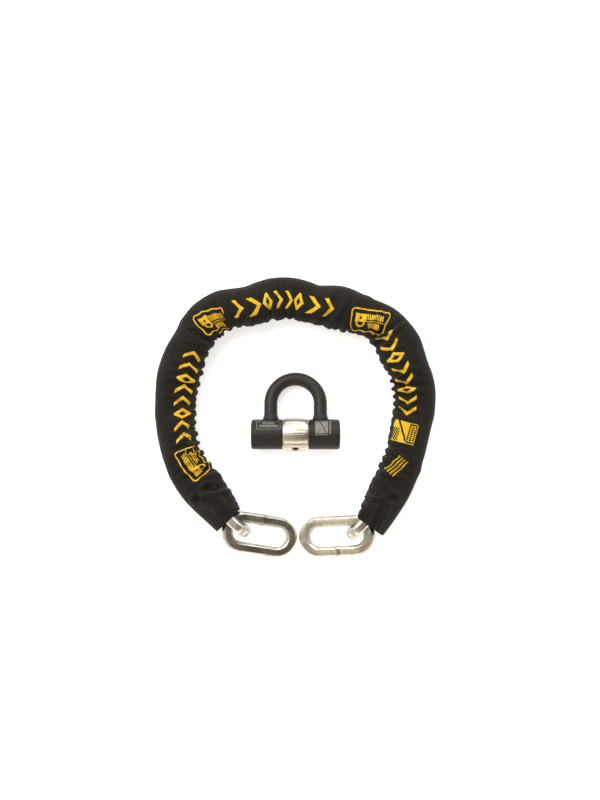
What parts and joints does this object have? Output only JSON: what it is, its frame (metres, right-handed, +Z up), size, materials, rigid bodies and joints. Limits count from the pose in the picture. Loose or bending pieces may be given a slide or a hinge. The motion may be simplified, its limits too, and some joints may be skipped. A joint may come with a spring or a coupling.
{
  "type": "chain lock",
  "caption": "Square-link security chain in a fabric sleeve with long end links, lying in an open ring, with a separate small U-shackle lock in the middle.",
  "frame": {"origin": "centre of the footprint, on the surface the chain lies on", "axes": "+Z up, +Y towards the closed side of the ring, away from the two end links"},
  "size_m": [0.2938, 0.2926, 0.0388],
  "materials": {
    "zinc_steel": "zinc plated, slightly mottled",
    "black_fabric": "matt woven polyester",
    "soft_black": "soft matt moulding",
    "satin_nickel": "satin nickel",
    "black_rubber": "matt",
    "brass": "machined",
    "tool_steel": "hardened steel"
  },
  "bodies": {
    "link_01": {"chain_link_01": "zinc_steel", "sleeve_section_01": "black_fabric"},
    "link_02": {"chain_link_02": "zinc_steel", "sleeve_section_02": "black_fabric"},
    "link_03": {"chain_link_03": "zinc_steel", "sleeve_section_03": "black_fabric"},
    "link_04": {"chain_link_04": "zinc_steel", "sleeve_section_04": "black_fabric"},
    "link_05": {"chain_link_05": "zinc_steel", "sleeve_section_05": "black_fabric"},
    "link_06": {"chain_link_06": "zinc_steel", "sleeve_section_06": "black_fabric"},
    "link_07": {"chain_link_07": "zinc_steel", "sleeve_section_07": "black_fabric"},
    "link_08": {"chain_link_08": "zinc_steel", "sleeve_section_08": "black_fabric"},
    "link_09": {"chain_link_09": "zinc_steel", "sleeve_section_09": "black_fabric"},
    "link_10": {"chain_link_10": "zinc_steel", "sleeve_section_10": "black_fabric"},
    "link_11": {"chain_link_11": "zinc_steel", "sleeve_section_11": "black_fabric"},
    "link_12": {"chain_link_12": "zinc_steel", "sleeve_section_12": "black_fabric"},
    "link_13": {"chain_link_13": "zinc_steel", "sleeve_section_13": "black_fabric"},
    "link_14": {"chain_link_14": "zinc_steel", "sleeve_section_14": "black_fabric"},
    "link_15": {"chain_link_15": "zinc_steel", "sleeve_section_15": "black_fabric"},
    "left_end": {"left_end_link": "zinc_steel"},
    "right_end": {"right_end_link": "zinc_steel"},
    "lock_body": {"lock_body_core": "tool_steel", "left_body_cover": "soft_black", "right_body_cover": "soft_black", "left_leg_seal": "black_rubber", "right_leg_seal": "black_rubber", "cylinder_housing": "brass", "cylinder_retaining_pin": "tool_steel"},
    "lock_shackle": {"shackle_core": "tool_steel", "shackle_jacket": "soft_black"},
    "lock_ring": {"keyhole_cover_ring": "satin_nickel"},
    "lock_plug": {"cylinder_plug": "brass", "drive_cam": "tool_steel"},
    "left_bolt": {"left_locking_bolt": "tool_steel"},
    "right_bolt": {"right_locking_bolt": "tool_steel"}
  },
  "joints": [
    {"name": "turn_07_on_08", "type": "hinge", "parent": "link_08", "child": "link_07", "pos_m": [-0.01981, 0.12583, 0.0194], "axis": [0, 0, -1], "range_deg": [0, 27.87]},
    {"name": "turn_06_on_07", "type": "hinge", "parent": "link_07", "child": "link_06", "pos_m": [-0.07689, 0.11399, 0.0194], "axis": [0, 0, -1], "range_deg": [0, 51.19]},
    {"name": "turn_05_on_06", "type": "hinge", "parent": "link_06", "child": "link_05", "pos_m": [-0.10337, 0.0938, 0.0194], "axis": [0, 0, -1], "range_deg": [0, 60.38]},
    {"name": "turn_04_on_05", "type": "hinge", "parent": "link_05", "child": "link_04", "pos_m": [-0.12568, 0.03994, 0.0194], "axis": [0, 0, -1], "range_deg": [0, 42.73]},
    {"name": "turn_03_on_04", "type": "hinge", "parent": "link_04", "child": "link_03", "pos_m": [-0.12634, 0.00665, 0.0194], "axis": [0, 0, -1], "range_deg": [0, 32.94]},
    {"name": "turn_02_on_03", "type": "hinge", "parent": "link_03", "child": "link_02", "pos_m": [-0.11092, -0.04958, 0.0194], "axis": [0, 0, -1], "range_deg": [0, 31.83]},
    {"name": "turn_01_on_02", "type": "hinge", "parent": "link_02", "child": "link_01", "pos_m": [-0.09365, -0.07805, 0.0194], "axis": [0, 0, -1], "range_deg": [0, 31.8]},
    {"name": "turn_09_on_08", "type": "hinge", "parent": "link_08", "child": "link_09", "pos_m": [0.01347, 0.12454, 0.0194], "axis": [0, 0, 1], "range_deg": [0, 19.59]},
    {"name": "turn_10_on_09", "type": "hinge", "parent": "link_09", "child": "link_10", "pos_m": [0.07049, 0.11241, 0.0194], "axis": [0, 0, 1], "range_deg": [0, 43.71]},
    {"name": "turn_11_on_10", "type": "hinge", "parent": "link_10", "child": "link_11", "pos_m": [0.09814, 0.09385, 0.0194], "axis": [0, 0, 1], "range_deg": [0, 59.57]},
    {"name": "turn_12_on_11", "type": "hinge", "parent": "link_11", "child": "link_12", "pos_m": [0.12402, 0.04161, 0.0194], "axis": [0, 0, 1], "range_deg": [0, 43.05]},
    {"name": "turn_13_on_12", "type": "hinge", "parent": "link_12", "child": "link_13", "pos_m": [0.12682, 0.00843, 0.0194], "axis": [0, 0, 1], "range_deg": [0, 33]},
    {"name": "turn_14_on_13", "type": "hinge", "parent": "link_13", "child": "link_14", "pos_m": [0.11501, -0.04867, 0.0194], "axis": [0, 0, 1], "range_deg": [0, 31.84]},
    {"name": "turn_15_on_14", "type": "hinge", "parent": "link_14", "child": "link_15", "pos_m": [0.09959, -0.07818, 0.0194], "axis": [0, 0, 1], "range_deg": [0, 31.8]},
    {"name": "left_end_turn", "type": "hinge", "parent": "link_01", "child": "left_end", "pos_m": [-0.05091, -0.11769, 0.0194], "axis": [0, 0, -1], "range_deg": [0, 60]},
    {"name": "right_end_turn", "type": "hinge", "parent": "link_15", "child": "right_end", "pos_m": [0.05946, -0.12047, 0.0194], "axis": [0, 0, 1], "range_deg": [0, 75]},
    {"name": "lock_lift", "type": "slide", "parent": "link_08", "child": "lock_body", "axis": [0, 0, 1], "range_m": [0, 0.09]},
    {"name": "shackle_slide", "type": "slide", "parent": "lock_body", "child": "lock_shackle", "axis": [0, 0.9833, -0.1822], "range_m": [0, 0.032]},
    {"name": "ring_turn", "type": "hinge", "parent": "lock_body", "child": "lock_ring", "pos_m": [0.00139, -0.01589, 0.01802], "axis": [1, 0, 0], "range_deg": [-90, 18]},
    {"name": "plug_turn", "type": "hinge", "parent": "lock_body", "child": "lock_plug", "pos_m": [0.00139, -0.01589, 0.01802], "axis": [0, -0.9833, 0.1822], "range_deg": [0, 90]},
    {"name": "left_bolt_slide", "type": "slide", "parent": "lock_body", "child": "left_bolt", "axis": [-1, 0, 0], "range_m": [0, 0.0028]},
    {"name": "right_bolt_slide", "type": "slide", "parent": "lock_body", "child": "right_bolt", "axis": [1, 0, 0], "range_m": [0, 0.0028]}
  ],
  "couplings": [
    {"joint": "left_bolt_slide", "follows": "plug_turn", "m_per_rad": 0.00178},
    {"joint": "right_bolt_slide", "follows": "plug_turn", "m_per_rad": 0.00178}
  ]
}
